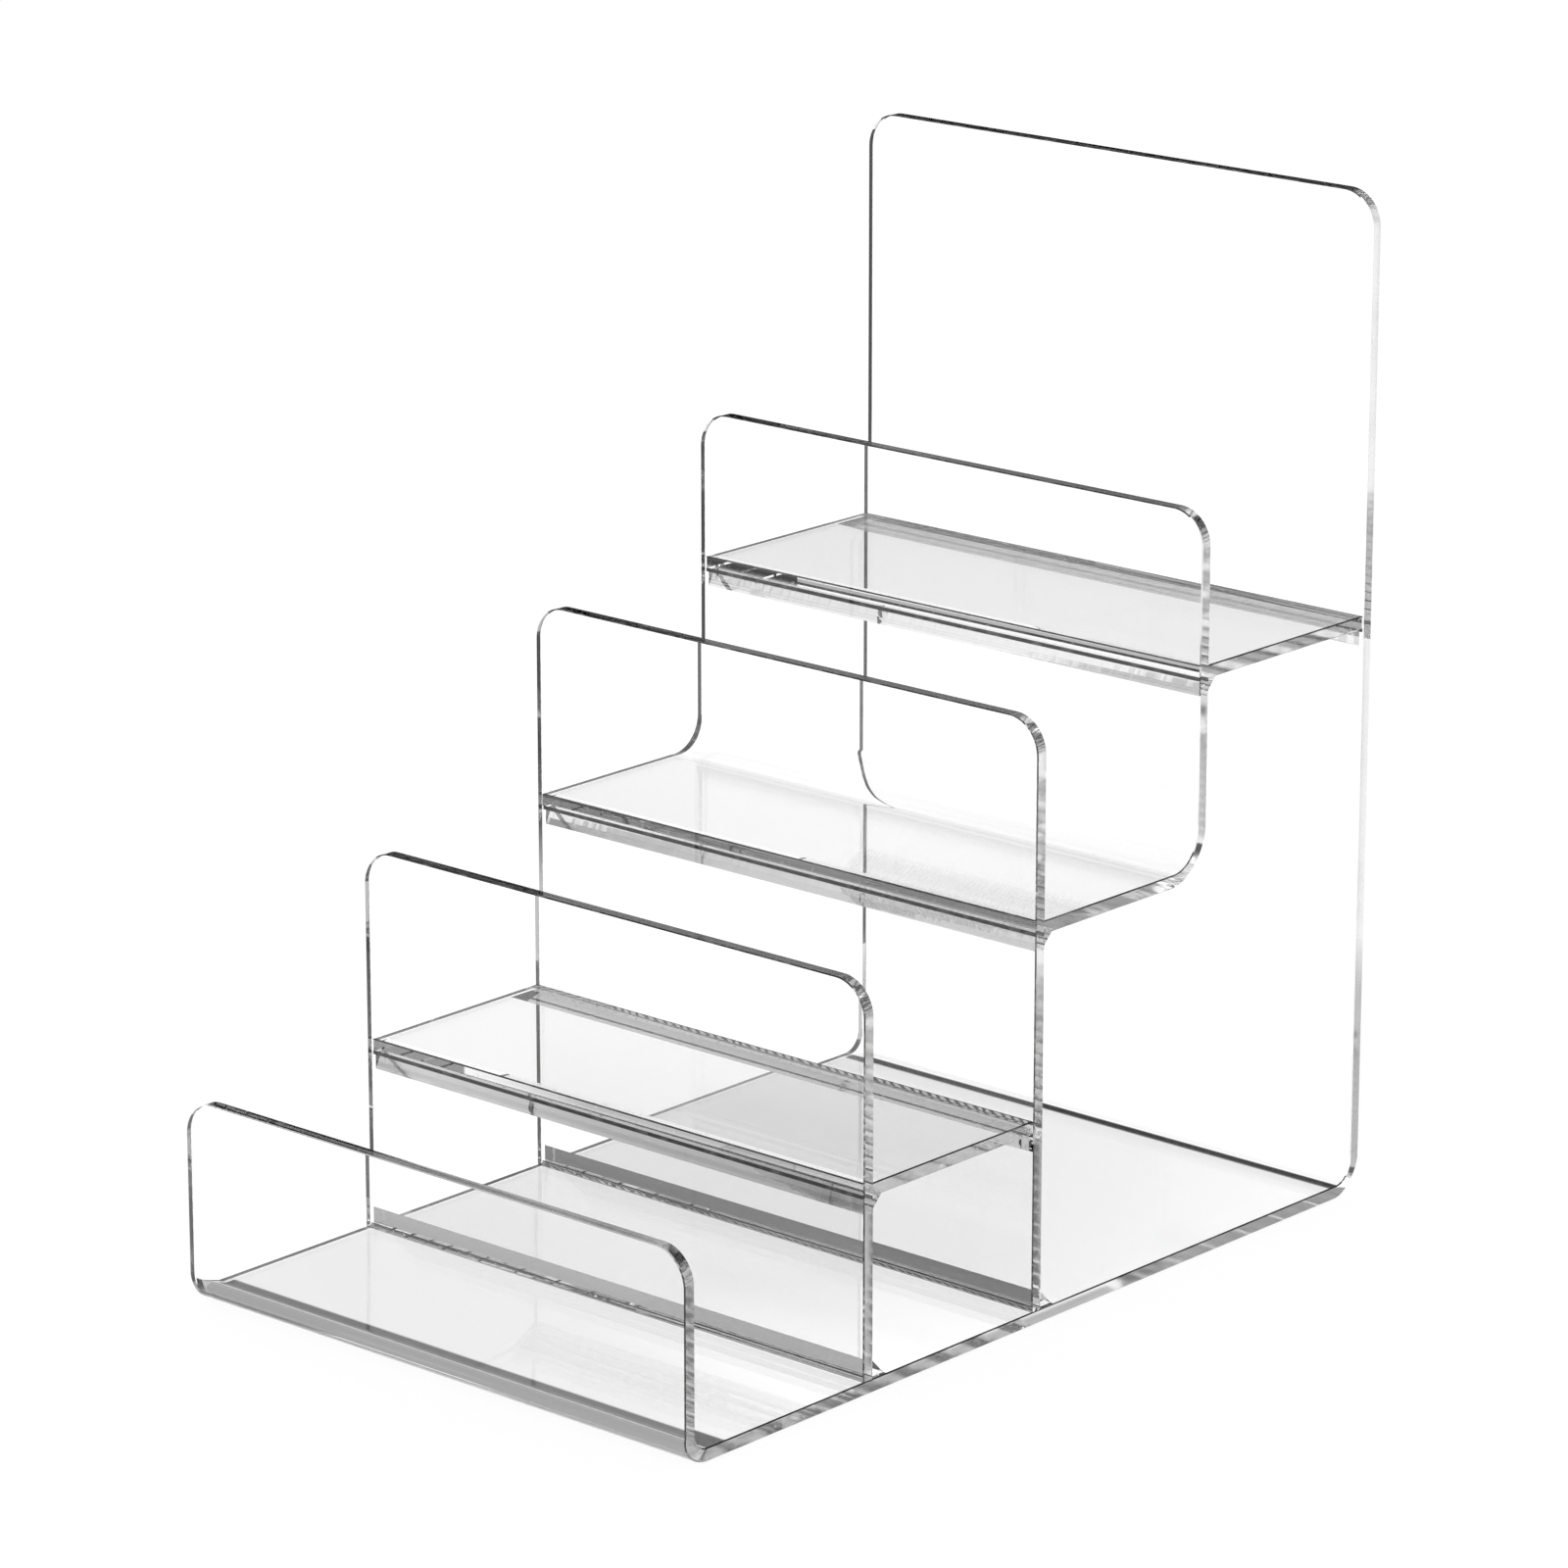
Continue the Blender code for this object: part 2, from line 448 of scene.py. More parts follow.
def sawn_finish(graph, place):
    """Saw-cut face, left frosted, with marks across it and duller patches along it."""
    colours = bpy.context.scene.riser_finishes
    smooth, mark_roughness = 0.2, 0.15
    marks = graph.noise(graph.stretched(place, (1.0, 0.15, 0.15)), scale=1400.0, detail=3.0)
    bump = graph.node("ShaderNodeBump", {}, {"Strength": 0.3, "Distance": 0.05 * MM, "Height": marks})
    patches = graph.noise(graph.stretched(place, (1.0, 2.0, 2.0)), scale=160.0, detail=3.0)
    worn = patches.rise(start=0.4, end=0.7)
    return {
        "Base Color": graph.blend(worn, colours.sawn_colour[:], colours.worn_colour[:]),
        "Roughness": smooth + marks * mark_roughness,
        "Transmission Weight": 0.7,
        "Normal": bump["Normal"],
    }


def seam_and_shade_finish(graph, place):
    """Dark line of set cement or residue along the joints, also used as painted shade on chamfers facing up.

    It is paler and duller where it is thin.
    """
    colours = bpy.context.scene.riser_finishes
    thick_roughness, thin_share = 0.1, 0.2
    patches = graph.noise(graph.stretched(place, (1.0, 0.3, 0.3)), scale=260.0)
    thin = patches.rise(start=0.5, end=0.75) * thin_share
    return {
        "Base Color": graph.blend(thin, colours.shade_and_residue_colour[:], colours.streak_colour[:]),
        "Roughness": thick_roughness + thin,
        "Transmission Weight": 0.1,
    }


def finishes():
    """The five finishes, made once, in the order of their places on every piece."""
    fills = (face_finish, edge_finish, cement_finish, sawn_finish, seam_and_shade_finish)
    for name, fill in zip(FINISHES, fills):
        if name not in bpy.data.materials:
            plastic(name, fill)
    return [bpy.data.materials[name] for name in FINISHES]


def add_piece(name, mesh):
    """Put a mesh in the scene, with places for the five finishes."""
    piece = bpy.data.objects.new(name, mesh)
    bpy.context.scene.collection.objects.link(piece)
    for material in finishes():
        mesh.materials.append(material)
    return piece


def register_piece(piece, replaced):
    """Tell the frame what a finished piece rides on and stands for."""
    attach(piece, BODY)
    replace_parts(piece, replaced)


# Sheets


def bending_tree():
    """Node tree that bends a flat blank over two hot lines.

    The blank lies flat: X across, Y along the sheet from its first end, Z through its thickness. The
    finished sheet runs down from its start, then to the back, then up, with the blank's underside
    outside. Where Start Level is 1, it starts level and has no first run.
    """
    tree = bpy.data.node_groups.new("bend_sheet", "GeometryNodeTree")
    graph = Graph(tree)
    tree_input(tree, "Blank", "NodeSocketGeometry")
    for name in ("Start Depth", "Start Height", "First Run", "First Bend", "Second Run", "Second Bend",
                 "Start Level", "Half Width", "Thickness", "Draw In", "Ripple"):
        tree_input(tree, name, "NodeSocketFloat")
    tree_input(tree, "Face", "NodeSocketMaterial")
    tree_input(tree, "Edge", "NodeSocketMaterial")
    tree.interface.new_socket("Sheet", in_out="OUTPUT", socket_type="NodeSocketGeometry")
    given = graph.node("NodeGroupInput")

    flat = graph.parts(graph.node("GeometryNodeInputPosition")["Position"])
    across, along, through = flat["X"], flat["Y"], flat["Z"]
    first_end = given["First Run"] + given["First Bend"] * QUARTER_TURN
    second_start = first_end + given["Second Run"]
    second_end = second_start + given["Second Bend"] * QUARTER_TURN
    first_turn = ((along - given["First Run"]) / given["First Bend"]) \
        .between(given["Start Level"] * QUARTER_TURN, QUARTER_TURN)
    second_turn = ((along - second_start) / given["Second Bend"]).between(0.0, QUARTER_TURN)
    turn = first_turn + second_turn

    down = along.least(given["First Run"]) + given["First Bend"] * first_turn.sine()
    back = given["First Bend"] * (1.0 - first_turn.cosine()) \
        + (along - first_end).between(0.0, given["Second Run"]) \
        + given["Second Bend"] * second_turn.sine()
    up = given["Second Bend"] * (1.0 - second_turn.cosine()) + (along - second_end).most(0.0)

    outside = 0.5 - through / given["Thickness"]
    tight = (first_turn * 2.0).sine() + (second_turn * 2.0).sine()
    waves_across, waves_along = 4.0, 900.0
    waves = graph.noise(graph.vector(across * waves_across, along * waves_along, 0.0), scale=1.0)
    rippled = tight * outside * waves * given["Ripple"]
    width = across * (1.0 - tight * outside * given["Draw In"] / given["Half Width"])
    outward = 0.0 - through - rippled

    depth = given["Start Depth"] + back - outward * turn.cosine()
    height = given["Start Height"] - down + up - outward * turn.sine()
    bent = graph.moved(given["Blank"], graph.vector(width, depth, height))
    named = {"data_type": "BOOLEAN"}
    rim = graph.node("GeometryNodeInputNamedAttribute", named, {"Name": "rim"})["Attribute"]
    faced = graph.coated(bent, given["Face"])
    graph.node("NodeGroupOutput", {}, {"Sheet": graph.coated(faced, given["Edge"], rim)})
    return tree


def corner_rows(centre, half, radius, start):
    """Rows of a blank's outline round one corner, a quarter turn from a start angle.

    centre is the place along the blank of the corner's centre. A square corner has one row.
    """
    if not radius:
        return [(centre, half, (1.0, -1.0 if start < 0.0 else 1.0))]
    rows = []
    for step in range(CORNER_STEPS + 1):
        angle = start + QUARTER_TURN * step / CORNER_STEPS
        out = (math.cos(angle), math.sin(angle))
        rows.append((centre + radius * out[1], half - radius + radius * out[0], out))
    return rows


def outline(half, length, stops, corners):
    """Right-hand outline of a blank: for each row its place along, its half width and the way out.

    corners gives the radius of the corners at either end, 0 where they are square.
    """
    first, last = corners
    least_step = 0.02 * MM
    rows = corner_rows(first, half, first, -QUARTER_TURN)
    for stop in sorted(stops):
        if rows[-1][0] + least_step < stop < length - last - least_step:
            rows.append((stop, half, (1.0, 0.0)))
    return rows + corner_rows(length - last, half, last, 0.0)


def flat_blank(name, half, length, stops, corners, seams):
    """Flat sheet with chamfered edges, divided at the given places along it.

    seams gives the start and end along it of each line of set cement. Faces are marked as rim where they
    are part of the edge, as chamfer, or as seam.
    """
    sizes = bpy.context.scene.riser_sheets
    chamfer, top = sizes.chamfer, sizes.thickness / 2
    side_band, inner_share = 1.0 * MM, 0.9
    rows = outline(half, length, stops, corners)
    blank = bmesh.new()
    rim_mark = blank.faces.layers.bool.new("rim")
    chamfer_mark = blank.faces.layers.bool.new("chamfer")
    seam_mark = blank.faces.layers.bool.new("seam")

    def broad_reach(row):
        """How far the side points and the inner points of a broad face are from its middle."""
        side = row[1] - chamfer * row[2][0]
        return side, min(half - chamfer - side_band, side * inner_share)

    def broad_face(height):
        """Grid of points over one broad face, inside the chamfer."""
        grid = []
        for row in rows:
            side, inner = broad_reach(row)
            y = row[0] - chamfer * row[2][1]
            grid.append([blank.verts.new((x, y, height)) for x in (-side, -inner, inner, side)])
        return grid

    def edge_loop(height):
        """Loop of points round the blank's full outline."""
        right, left = [], []
        for along, reach, _ in rows:
            right.append(blank.verts.new((reach, along, height)))
            left.append(blank.verts.new((-reach, along, height)))
        first, last = broad_reach(rows[0])[1], broad_reach(rows[-1])[1]
        near = [blank.verts.new((x, rows[0][0], height)) for x in (-first, first)]
        far = [blank.verts.new((x, rows[-1][0], height)) for x in (last, -last)]
        return near + right + far + left[::-1]

    def broad_loop(grid):
        """The points of a broad face that lie along its outline, in the order of an edge loop."""
        right = [row[3] for row in grid]
        left = [row[0] for row in grid]
        return grid[0][1:3] + right + [grid[-1][2], grid[-1][1]] + left[::-1]

    upper, lower = broad_face(top), broad_face(-top)
    for grid, upward in ((upper, True), (lower, False)):
        for near, far in zip(grid, grid[1:]):
            along = (near[1].co.y + far[1].co.y) / 2
            for i in range(len(near) - 1):
                around = [near[i], near[i + 1], far[i + 1], far[i]]
                face = blank.faces.new(around if upward else around[::-1])
                face[seam_mark] = any(start < along < end for start, end in seams)
    loops = [broad_loop(upper), edge_loop(top - chamfer), edge_loop(chamfer - top), broad_loop(lower)]
    for above, below, slanted in zip(loops, loops[1:], (True, False, True)):
        for i in range(len(above)):
            j = (i + 1) % len(above)
            rim = blank.faces.new((above[j], above[i], below[i], below[j]))
            rim[rim_mark] = True
            rim[chamfer_mark] = slanted
    mesh = bpy.data.meshes.new(name)
    blank.to_mesh(mesh)
    blank.free()
    return mesh


def bend(name, start, runs, radii, width, joints, corners, replaced):
    """One sheet: cut its blank with polished edges, then bend it.

    start is the middle of the sheet's thickness at its first end, as depth and height. runs are its three
    flat lengths and radii those of the two bends between them, 0 where there is none. joints gives the
    start and end along it of each glued span, and replaced the solid that it stands for.
    """
    sizes = bpy.context.scene.riser_sheets
    no_bend = 0.001 * MM
    first_bend, second_bend = radii
    first_run, second_run, last_run = runs
    first_end = first_run + first_bend * QUARTER_TURN
    second_start = first_end + second_run
    length = second_start + second_bend * QUARTER_TURN + last_run
    seams = seam_spans(joints)
    stops = [place for seam in seams for place in seam]
    for begin, radius in ((first_run, first_bend), (second_start, second_bend)):
        if radius:
            stops += [begin + radius * QUARTER_TURN * step / BEND_STEPS for step in range(BEND_STEPS + 1)]

    piece = add_piece(name, flat_blank(name, width / 2, length, stops, corners, seams))
    tree = bpy.data.node_groups.get("bend_sheet") or bending_tree()
    mesh = run_tree(piece, tree, {
        "Start Depth": start[0], "Start Height": start[1],
        "First Run": first_run, "First Bend": first_bend or no_bend,
        "Second Run": second_run, "Second Bend": second_bend or no_bend,
        "Start Level": 0.0 if first_run else 1.0,
        "Half Width": width / 2, "Thickness": sizes.thickness,
        "Draw In": sizes.draw_in, "Ripple": sizes.ripple,
        "Face": finishes()[FACE], "Edge": finishes()[EDGE],
    })
    finish_mesh(mesh)
    register_piece(piece, replaced)


def finish_mesh(mesh):
    """Smooth the bends, keep the chamfers crisp, and paint shade on those facing up, but for the front lip's.
    """
    facing_up = 0.6
    chamfers = mesh.attributes["chamfer"].data
    for polygon in mesh.polygons:
        polygon.use_smooth = True
        # Painted shade: chamfers that face up behind the front lip take the dark seam finish
        takes_painted_shade = polygon.normal.z > facing_up and polygon.center.y > FRONT_LIP_BACK
        if chamfers[polygon.index].value and takes_painted_shade:
            polygon.material_index = SEAM_AND_SHADE
    mesh.set_sharp_from_angle(angle=math.radians(20))


def seam_spans(joints):
    """The start and end of the dark line at either end of each glued span, and of any small gap between
    two spans."""
    width = bpy.context.scene.riser_sheets.seam
    widest_gap = 2 * CAD_GAP
    seams = []
    for near, far in joints:
        seams += [(near, near + width), (far - width, far)]
        seams += [(far, after) for after, _ in joints if 0.0 < after - far < widest_gap]
    return seams


class RISER_OT_base_sheet(bpy.types.Operator):
    """Bend the sheet that makes the front lip, the base and the back panel"""

    bl_idname = "display_riser.base_sheet"
    bl_label = "Base and Back Sheet"

    def execute(self, context):
        sizes = context.scene.riser_sheets
        node = BASE_SHEET
        middle = sizes.thickness / 2
        front, back = low(node).y + middle, high(node).y - middle
        front_radius, back_radius = sizes.front_bend + middle, sizes.back_bend + middle
        lip_top = high("tier_2_riser").z - high("tier_2_shelf").z + sizes.thickness - CAD_GAP
        first_run = lip_top - middle - front_radius
        second_run = back - front - front_radius - back_radius
        last_run = high(node).z - middle - back_radius
        base_start = first_run + front_radius * QUARTER_TURN - (front + front_radius)
        back_start = base_start + (back - back_radius) + back_radius * QUARTER_TURN - (middle + back_radius)

        joints = []
        for riser, strip in (("tier_2_riser", "tier_2_riser_base_strip"),
                             ("tier_3_riser", "tier_3_riser_base_strip")):
            joints.append((base_start + low(riser).y, base_start + high(riser).y))
            joints.append((base_start + high(riser).y, base_start + high(strip).y))
        for joined in ("tier_4_shelf_rear_strip", "tier_4_shelf"):
            joints.append((back_start + low(joined).z, back_start + high(joined).z))
        bend("bent_base_sheet", (front, lip_top), (first_run, second_run, last_run),
             (front_radius, back_radius), high(node).x - low(node).x, joints,
             (sizes.corner, sizes.corner), node)
        return {"FINISHED"}


class RISER_OT_uprights(bpy.types.Operator):
    """Cut the two flat risers that stand on the base"""

    bl_idname = "display_riser.uprights"
    bl_label = "Tier 2 and Tier 3 Risers"

    def execute(self, context):
        sizes = context.scene.riser_sheets
        joined = {
            "tier_2_riser": ["tier_2_riser_base_strip", "tier_2_shelf", "tier_2_shelf_front_strip"],
            "tier_3_riser": ["tier_3_riser_base_strip", "tier_2_shelf", "tier_2_shelf_rear_strip",
                             "tier_3_shelf_front_strip"],
        }
        floor = sizes.thickness + sizes.film
        for node, neighbours in joined.items():
            top = high(node).z
            spans = [(top - high(other).z, top - low(other).z) for other in neighbours]
            if node == "tier_3_riser":
                shelf = low("tier_3_shelf_and_tier_4_riser").z
                spans.append((top - shelf - sizes.thickness, top - shelf))
            middle = (low(node).y + high(node).y) / 2
            bend(node.replace("riser", "upright"), (middle, top), (top - floor, 0.0, 0.0), (0.0, 0.0),
                 high(node).x - low(node).x, spans, (sizes.corner, 0.0), node)
        return {"FINISHED"}


class RISER_OT_flat_shelves(bpy.types.Operator):
    """Cut the two flat shelves"""

    bl_idname = "display_riser.flat_shelves"
    bl_label = "Tier 2 and Tier 4 Shelves"

    def execute(self, context):
        sizes = context.scene.riser_sheets
        reach = CAD_GAP - sizes.film
        for node in ("tier_2_shelf", "tier_4_shelf"):
            front, back = low(node).y - reach, high(node).y + reach
            spans = [(0.0, high(node + "_front_strip").y - front),
                     (low(node + "_rear_strip").y - front, back - front)]
            middle = (low(node).z + high(node).z) / 2
            bend(node.replace("shelf", "board"), (front, middle), (0.0, back - front, 0.0), (0.0, 0.0),
                 high(node).x - low(node).x, spans, (0.0, 0.0), node)
        return {"FINISHED"}


class RISER_OT_bent_shelf(bpy.types.Operator):
    """Bend the third shelf and the fourth riser from one sheet"""

    bl_idname = "display_riser.bent_shelf"
    bl_label = "Tier 3 Shelf and Tier 4 Riser"

    def execute(self, context):
        sizes = context.scene.riser_sheets
        node = "tier_3_shelf_and_tier_4_riser"
        middle = sizes.thickness / 2
        radius = sizes.shelf_bend + middle
        front = low(node).y - CAD_GAP + sizes.film
        back = high(node).y - middle
        shelf = low(node).z + middle
        second_run = back - radius - front
        last_run = high(node).z - shelf - radius
        riser_start = second_run + radius * QUARTER_TURN - (shelf + radius)
        spans = [(0.0, high("tier_3_shelf_front_strip").y - front)]
        for joined in ("tier_4_shelf", "tier_4_shelf_front_strip"):
            spans.append((riser_start + low(joined).z, riser_start + high(joined).z))
        bend("bent_shelf_sheet", (front, shelf), (0.0, second_run, last_run), (0.0, radius),
             high(node).x - low(node).x, spans, (0.0, sizes.corner), node)
        return {"FINISHED"}


# Strips


def sawing_tree():
    """Node tree that sizes a unit strip, lays it in its corner and roughens its sawn face.

    The unit strip runs along X. Its square edge is at Y 0, Z 0 and its legs end at 1.
    """
    tree = bpy.data.node_groups.new("saw_strip", "GeometryNodeTree")
    graph = Graph(tree)
    tree_input(tree, "Strip", "NodeSocketGeometry")
    for name in ("Corner Depth", "Corner Height", "Level Leg", "Upright Leg", "Mark Depth", "Mark Scale"):
        tree_input(tree, name, "NodeSocketFloat")
    tree_input(tree, "Face", "NodeSocketMaterial")
    tree_input(tree, "Sawn", "NodeSocketMaterial")
    tree.interface.new_socket("Laid Strip", in_out="OUTPUT", socket_type="NodeSocketGeometry")
    given = graph.node("NodeGroupInput")

    unit = graph.parts(graph.node("GeometryNodeInputPosition")["Position"])
    half_way, over_slope, from_strip_to_strip, slant = 0.25, 2.0, 1000.0, 0.1
    inward = (unit["Y"] * unit["Z"] / half_way).between(0.0, 1.0)
    marked = graph.vector(unit["X"] * given["Mark Scale"], unit["Y"] * over_slope,
                          given["Corner Height"] * from_strip_to_strip)
    marks = graph.noise(marked, scale=1.0, detail=3.0)
    cut = 1.0 - inward * marks * given["Mark Depth"] / abs(given["Upright Leg"])
    depth = given["Corner Depth"] + unit["Y"] * given["Level Leg"] * cut
    height = given["Corner Height"] + unit["Z"] * given["Upright Leg"] * cut
    laid = graph.moved(given["Strip"], graph.vector(unit["X"], depth, height))
    normal = graph.parts(graph.node("GeometryNodeInputNormal")["Normal"])
    slanted = (abs(normal["Y"] * normal["Z"]) > slant) * (unit["Y"] > LEG_END) * (unit["Z"] > LEG_END)
    faced = graph.coated(laid, given["Face"])
    graph.node("NodeGroupOutput", {}, {"Laid Strip": graph.coated(faced, given["Sawn"], slanted)})
    return tree


def unit_strip(name, first, last):
    """Strip with legs of 1 between two places across the stand, finely divided along and over its slope."""
    station_step = 0.8 * MM
    slope = (0.0, LEG_END, 0.35, 0.65, 1.0 - LEG_END, 1.0)
    section = [(0.0, 0.0)] + [(1.0 - rise, rise) for rise in slope]
    count = math.ceil((last - first) / station_step)
    strip = bmesh.new()
    stations = []
    for i in range(count + 1):
        x = first + (last - first) * i / count
        stations.append([strip.verts.new((x, y, z)) for y, z in section])
    for near, far in zip(stations, stations[1:]):
        for i in range(len(section)):
            j = (i + 1) % len(section)
            strip.faces.new((near[i], near[j], far[j], far[i]))
    strip.faces.new(stations[0])
    strip.faces.new(stations[-1])
    mesh = bpy.data.meshes.new(name)
    strip.to_mesh(mesh)
    strip.free()
    return mesh


def outward_faces(mesh):
    """Turn every face of a closed mesh outwards."""
    shell = bmesh.new()
    shell.from_mesh(mesh)
    bmesh.ops.recalc_face_normals(shell, faces=shell.faces)
    shell.to_mesh(mesh)
    shell.free()


class RISER_OT_corner_strips(bpy.types.Operator):
    """Saw the triangular strips and lay them in the glued corners"""

    bl_idname = "display_riser.corner_strips"
    bl_label = "Corner Strips"

    def execute(self, context):
        sizes = context.scene.riser_sheets
        shift = CAD_GAP - sizes.film
        strips = [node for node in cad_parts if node.endswith("_strip")]
        if not strips:
            raise RuntimeError("the frame has no strips")
        for node in strips:
            lowest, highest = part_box(node)
            behind = not node.endswith("rear_strip")
            on_base = node.endswith("base_strip")
            depth, height = highest.y - lowest.y, highest.z - lowest.z
            corner_y = lowest.y - shift if behind else highest.y + shift
            corner_z = lowest.z - shift if on_base else highest.z + shift
            name = node.replace("strip", "fillet")
            piece = add_piece(name, unit_strip(name, lowest.x, highest.x))
            tree = bpy.data.node_groups.get("saw_strip") or sawing_tree()
            mesh = run_tree(piece, tree, {
                "Corner Depth": corner_y, "Corner Height": corner_z,
                "Level Leg": depth if behind else -depth,
                "Upright Leg": height if on_base else -height,
                "Mark Depth": sizes.saw_marks, "Mark Scale": SAW_MARK_SCALE,
                "Face": finishes()[FACE], "Sawn": finishes()[SAWN],
            })
            outward_faces(mesh)
            register_piece(piece, node)
        return {"FINISHED"}


class RISER_OT_cement(bpy.types.Operator):
    """Join the faces that touch with cement, and darken the seams along the ends of every joint"""

    bl_idname = "display_riser.cement"
    bl_label = "Cement Joints"

    def execute(self, context):
        sizes = context.scene.riser_sheets
        reach, seam_reach = 3 * sizes.film, 2 * sizes.chamfer
        pieces = [item for item in context.scene.objects if item.type == "MESH" and "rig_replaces" in item]
        shells = {}
        for piece in pieces:
            places = [vertex.co for vertex in piece.data.vertices]
            shells[piece.name] = BVHTree.FromPolygons(places, [face.vertices for face in piece.data.polygons])
        joined = 0
        for piece in pieces:
            seams = piece.data.attributes.get("seam")
            for face in piece.data.polygons:
                seam = bool(seams) and seams.data[face.index].value
                near = seam_reach if seam else reach
                for other, shell in shells.items():
                    if other != piece.name and shell.ray_cast(face.center, face.normal, near)[0]:
                        face.material_index = SEAM_AND_SHADE if seam else CEMENT
                        joined += 1
        if not joined:
            raise RuntimeError("no glued faces were found")
        return {"FINISHED"}


# Light


# Levels are shares of white. A step is a start, an end and a change of level between them, by how high a
# ray goes: 0 is level and 1 is straight up.
WALL_LEVEL = 0.03
WALL_STEPS = ((0.17, 0.3, 0.58), (0.31, 0.34, -0.2), (0.35, 0.364, 0.7), (0.52, 0.64, -1.03))
WINDOW_STEPS = ((0.2, 0.24, 0.6), (0.5, 0.58, -0.6), (0.62, 0.68, 0.45))
LAMP_STEPS = ((0.5, 0.6, 0.6),)
DARK_SIDE = 0.02

# Table. A band is a start and an end from front to back, and a change of level between them.
WHITE = 0.92                        # where it is seen straight
GLARE = 0.92                        # share of it that the outsides of the faces mirror
UNDER_SHADE = 0.7                   # share of the soft light that the stand keeps off it
NEAR, FAR = 50.0 * MM, 90.0 * MM    # distances from the stand between which the far levels fade in
# Painted shadow: thin dark lines on the table under the two bends, seen through the acrylic
BEND_SHADOWS = ((-103.5 * MM, -97.5 * MM, 1.0), (104.5 * MM, 107.5 * MM, 1.0))   # under the two bends
BEND_SHADOW_DARKNESS = 0.97

# Table to rays that no face has turned, and what it loses far off, under the stand and in parts of it
CLEAR, CLEAR_FAR_LOSS, CLEAR_UNDER_LOSS = 1.19, 0.07, 0.07
REAR_START, CLEAR_REAR_LOSS = 10.0 * MM, 0.04
CLEAR_FRONT_LOSSES = ((-109.0 * MM, -104.3 * MM, 0.8),)     # under the front lip

# Table to rays that faces have turned, once or often
FAR_RIGHT, FAR_RIGHT_OFTEN = 0.05, 0.3
FAR_LEFT_OFTEN, FAR_FRONT_LOSS_OFTEN = 1.1, 0.25
BESIDE = 0.57
BENEATH, BENEATH_GAIN_OFTEN = 0.11, 0.34
BENEATH_STRIPS = ((-56.0 * MM, -40.0 * MM, 0.34), (-2.0 * MM, 14.0 * MM, 0.1))
FRONT_BEND_END, BENEATH_FRONT_GAIN = -103.5 * MM, 0.26


def ray_history(graph):
    """Whether a ray has been scattered by a matt face, whether it has been inside the acrylic, whether a
    face has turned it, and whether more than three have."""
    none, three = 0.5, 3.5
    path = graph.node("ShaderNodeLightPath")
    turns = path["Glossy Depth"]
    return path["Diffuse Depth"] > none, path["Transmission Depth"] > none, turns > none, turns > three


def room_light(graph):
    """Brightness of the room for rays that come out of the acrylic: a bright wall and a window to the left,
    a dark right-hand side with a lamp in front, and a dim ceiling. To all others it is plain white, except
    that the outsides of the faces mirror nothing of it."""
    direction = graph.parts(graph.node("ShaderNodeTexCoord")["Generated"])
    left, front, height = direction["X"] < 0.0, direction["Y"] < 0.0, direction["Z"]
    wall = height.stepped(WALL_LEVEL, WALL_STEPS)
    window = height.stepped(0.0, WINDOW_STEPS)
    lamp = height.stepped(0.0, LAMP_STEPS)
    room = left * (wall + front * window) + (1.0 - left) * (DARK_SIDE + front * lamp)
    scattered, inside, turned, _ = ray_history(graph)
    seen = inside * room + (1.0 - inside) * (1.0 - turned)
    return scattered + (1.0 - scattered) * seen


def table_light(graph):
    """Brightness of the table, and how much of its matt part shows.

    It is white where it is seen straight. Seen through the acrylic it has levels of its own: clear ones
    for rays that no face has turned, and darker ones for rays that faces have turned.
    """
    place = graph.parts(graph.node("ShaderNodeTexCoord")["Object"])
    x, y = place["X"], place["Y"]
    left, front = x < 0.0, y < 0.0
    right, back = 1.0 - left, 1.0 - front
    corner = high(BASE_SHEET)
    away = (abs(x) - corner.x).most(abs(y) - corner.y)
    under = 1.0 - (away > 0.0)
    far = away.rise(NEAR, FAR)
    scattered, inside, turned, often = ray_history(graph)

    lost = (y > REAR_START) * CLEAR_REAR_LOSS + y.banded(CLEAR_UNDER_LOSS, CLEAR_FRONT_LOSSES)
    clear = CLEAR - far * CLEAR_FAR_LOSS - under * lost

    far_once = left + right * back * FAR_RIGHT
    far_often = left * (FAR_LEFT_OFTEN - front * FAR_FRONT_LOSS_OFTEN) + right * back * FAR_RIGHT_OFTEN
    beyond = (1.0 - often) * far_once + often * far_often
    beneath = y.banded(BENEATH, BENEATH_STRIPS) + often * BENEATH_GAIN_OFTEN \
        + (y < FRONT_BEND_END) * BENEATH_FRONT_GAIN
    dim = far * beyond + (1.0 - far) * ((1.0 - under) * BESIDE + under * beneath)

    through = (1.0 - turned) * clear + turned * dim
    direct = (1.0 - turned) + turned * GLARE
    # Painted shadow: dark lines on the table under the two bends
    bend_shadow = inside * under * y.banded(0.0, BEND_SHADOWS)
    seen = (inside * through + (1.0 - inside) * direct) * (1.0 - bend_shadow * BEND_SHADOW_DARKNESS)
    strength = scattered * (1.0 - inside * under * UNDER_SHADE) + (1.0 - scattered) * seen
    return strength * WHITE, 1.0 - (inside * turned).most(bend_shadow)


# Stage


